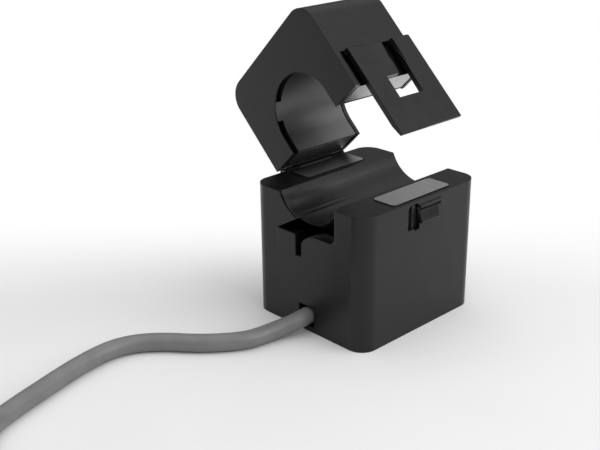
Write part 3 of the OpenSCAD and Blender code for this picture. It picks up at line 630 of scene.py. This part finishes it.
def grey_sheath():
    """Grey vinyl with slow mottling and a shallow ripple."""
    finish = Finish("sheath_grey", roughness=0.38)
    finish.feed("Base Color", finish.colour(finish.noise(size=4.0), grey(0.165), grey(0.2)))
    finish.feed("Roughness", finish.between(finish.noise(size=1.5, detail=4.0), 0.33, 0.45))
    finish.bump(finish.noise(size=0.8), height=0.006)
    return finish


wear(lead, grey_sheath())
print("sheath on", lead.name)

# %% [markdown]
# The pieces inside and at the lead's end get plain honest finishes: a banded winding, yellow tape,
# a green board, a tan resistor, tinned pins, rubber pads and red core insulation. Two recipes make
# them all: speckles for what is plain, and bands for what is wound or ringed.

# %% Small finishes


def speckled(name, dark, light, roughness, size, relief=0.002, metallic=0.0):
    """Two close colours mixed by noise of the given size, with a low relief."""
    finish = Finish(name, roughness, metallic)
    grain = finish.noise(size)
    finish.feed("Base Color", finish.colour(grain, dark, light, least=0.35, most=0.65))
    finish.vary_roughness(grain)
    finish.bump(grain, relief)
    return finish


def banded(name, dark, light, roughness, pitch, relief, metallic=0.0):
    """Bands across X, one every pitch millimetres: the turns of a winding or the rings on a resistor.
    The bands of a Wave texture lie pi / (10 * scale) apart, so its scale is pi / (10 * pitch)."""
    finish = Finish(name, roughness, metallic)
    inputs = {"Vector": finish.place, "Scale": np.pi / (10 * pitch * MM), "Distortion": 0.4}
    wave = add_node(finish.tree, "ShaderNodeTexWave", inputs).outputs["Fac"]
    finish.feed("Base Color", finish.colour(wave, dark, light, least=0.1, most=0.8))
    finish.vary_roughness(finish.noise(size=1.0))
    finish.bump(wave, relief)
    return finish


wear("secondary_winding", "winding_leads", banded(
    "copper_turns", (0.32, 0.11, 0.04), (0.62, 0.27, 0.12),
    roughness=0.3, pitch=0.15, relief=0.03, metallic=1.0))
wear("winding_tape", banded(
    "yellow_tape", (0.55, 0.42, 0.06), (0.66, 0.52, 0.1), roughness=0.35, pitch=2.5, relief=0.01))
wear("base_bobbin", speckled(
    "bobbin_natural", (0.62, 0.58, 0.48), (0.7, 0.67, 0.57), roughness=0.5, size=0.6))
wear("core_pads", speckled(
    "pad_rubber", grey(0.02), grey(0.04), roughness=0.8, size=0.4, relief=0.01))
wear("circuit_board", speckled(
    "board_green", (0.02, 0.13, 0.05), (0.03, 0.18, 0.07), roughness=0.35, size=0.9))
wear("burden_resistor", banded(
    "resistor_tan", (0.42, 0.25, 0.1), (0.62, 0.46, 0.28), roughness=0.35, pitch=1.3, relief=0.004))
wear("surge_diode", speckled(
    "diode_black", grey(0.012), grey(0.025), roughness=0.6, size=0.2))
wear("solder_terminals", ferrules, speckled(
    "tinned", (0.5, 0.5, 0.49), (0.66, 0.66, 0.65), roughness=0.3, size=0.5, relief=0.003, metallic=1.0))
wear(stripped_cores, "lead_cores", speckled(
    "core_red", (0.42, 0.02, 0.015), (0.52, 0.035, 0.025), roughness=0.35, size=0.8))
wear(tie_band, sleeve, speckled(
    "tie_black", grey(0.012), grey(0.022), roughness=0.45, size=0.5, relief=0.004))
print("small finishes done")

# %% [markdown]
# The photograph's table is a pale sheet that fades to white behind the sensor. The floor here is a
# real matt surface that keeps the sensor's soft shadow. With the distance behind the sensor, along
# the camera's heading, it fades to plain white for the camera and for reflections, while for all
# other light it stays the same pale surface.

# %% Floor
FLOOR_HALF = 4000.0
FLOOR_DROP = 0.01
FADE_FROM, FADE_TO = -5.0, 50.0


def smooth_rise(tree, value, least, most, low=0.0, high=1.0):
    """A number that rises from low to high in a soft S as the value runs from least to most."""
    node = add_node(tree, "ShaderNodeMapRange", {
        "Value": value, "From Min": least, "From Max": most, "To Min": low, "To Max": high})
    node.interpolation_type = "SMOOTHSTEP"
    return node.outputs["Result"]


def seen_rays(tree):
    """One for rays from the camera and for glossy and transmitted rays, else zero: their clamped sum."""
    rays = tree.nodes.new("ShaderNodeLightPath")
    total = rays.outputs["Is Camera Ray"]
    for kind in ("Is Glossy Ray", "Is Transmission Ray"):
        add = add_node(tree, "ShaderNodeMath", {0: total, 1: rays.outputs[kind]}, "ADD")
        add.use_clamp = True
        total = add.outputs["Value"]
    return total


def floor_finish():
    """Pale matt paint that turns to a plain white glow between two distances behind the sensor. The
    distance is the dot product of the place and the camera's heading."""
    finish = Finish("pale_table", roughness=0.9, specular=0.1)
    finish.feed("Base Color", finish.colour(finish.noise(size=25.0), grey(0.84), grey(0.86)))
    tree = finish.tree
    heading = (np.sin(HEADING), np.cos(HEADING), 0.0)
    behind = add_node(tree, "ShaderNodeVectorMath", {0: finish.place, 1: heading}, "DOT_PRODUCT")
    fade = smooth_rise(tree, behind.outputs["Value"], FADE_FROM * MM, FADE_TO * MM)
    share = add_node(tree, "ShaderNodeMath", {0: fade, 1: seen_rays(tree)}, "MULTIPLY")
    glow = tree.nodes.new("ShaderNodeEmission")
    mix = add_node(tree, "ShaderNodeMixShader", {
        "Fac": share.outputs["Value"], 1: finish.shader.outputs["BSDF"], 2: glow.outputs["Emission"]})
    output = next(n for n in tree.nodes if n.type == "OUTPUT_MATERIAL")
    tree.links.new(mix.outputs["Shader"], output.inputs["Surface"])
    return finish


def floor_sheet():
    """One flat square face just under the sensor: its corners are plus and minus half its side in X and
    in Y."""
    side = np.array([-FLOOR_HALF, FLOOR_HALF])
    x, y = np.meshgrid(side, side)
    points = np.column_stack([x.ravel(), y.ravel(), np.full(4, -FLOOR_DROP)])
    return new_piece("table_top", points, [[0, 1, 3, 2]], smooth_faces=False)


table_top = floor_sheet()
wear(table_top, floor_finish())
print("table top", 2 * FLOOR_HALF * MM, "m across")

# %% [markdown]
# The light is a studio: a pale table below, a wide white ceiling above, and a room that is dim
# towards the horizon. Black plastic and steel show this as a soft change from dark to light. One
# large soft lamp on the latch side draws the soft shadow on the lead's side, and a smaller, weaker
# one behind the latch gives the plate, the roof and the pole face there their sheen.

# %% Surround and lamps
SKY_LOW, SKY_HIGH = 0.13, 1.28
RISE_FROM, RISE_TO = 0.2, 1.1
LAMP_AIM = np.array([0.0, 0.0, 0.02])


def studio_surround():
    """The world: its level rises smoothly with the height of the direction, from the horizon upwards."""
    world = bpy.data.worlds.new("studio")
    world.use_nodes = True
    bpy.context.scene.world = world
    tree = world.node_tree
    way = tree.nodes.new("ShaderNodeTexCoord").outputs["Generated"]
    height = add_node(tree, "ShaderNodeSeparateXYZ", {"Vector": way}).outputs["Z"]
    level = smooth_rise(tree, height, RISE_FROM, RISE_TO, SKY_LOW, SKY_HIGH)
    background = next(n for n in tree.nodes if n.type == "BACKGROUND")
    background.inputs["Color"].default_value = (1.0, 1.0, 1.0, 1.0)
    tree.links.new(level, background.inputs["Strength"])


def soft_lamp(name, place, size, power):
    """A square area lamp that faces the sensor: its back points away from the aim, its side is level
    and its up is square to both."""
    data = bpy.data.lights.new(name, "AREA")
    data.size = size
    data.energy = power
    lamp = bpy.data.objects.new(name, data)
    bpy.context.collection.objects.link(lamp)
    back = np.array(place) - LAMP_AIM
    back /= np.linalg.norm(back)
    side = np.cross([0.0, 0.0, 1.0], back)
    side /= np.linalg.norm(side)
    lamp.matrix_world = placed((side, np.cross(back, side), back), place)


studio_surround()
soft_lamp("lamp_right", place=(0.4, 0.14, 0.32), size=0.45, power=1.5)
soft_lamp("lamp_back", place=(0.288, 0.385, 0.308), size=0.2, power=0.1)
bpy.context.scene.view_settings.view_transform = "Standard"
print("sky from", SKY_LOW, "to", SKY_HIGH)

# %% [markdown]
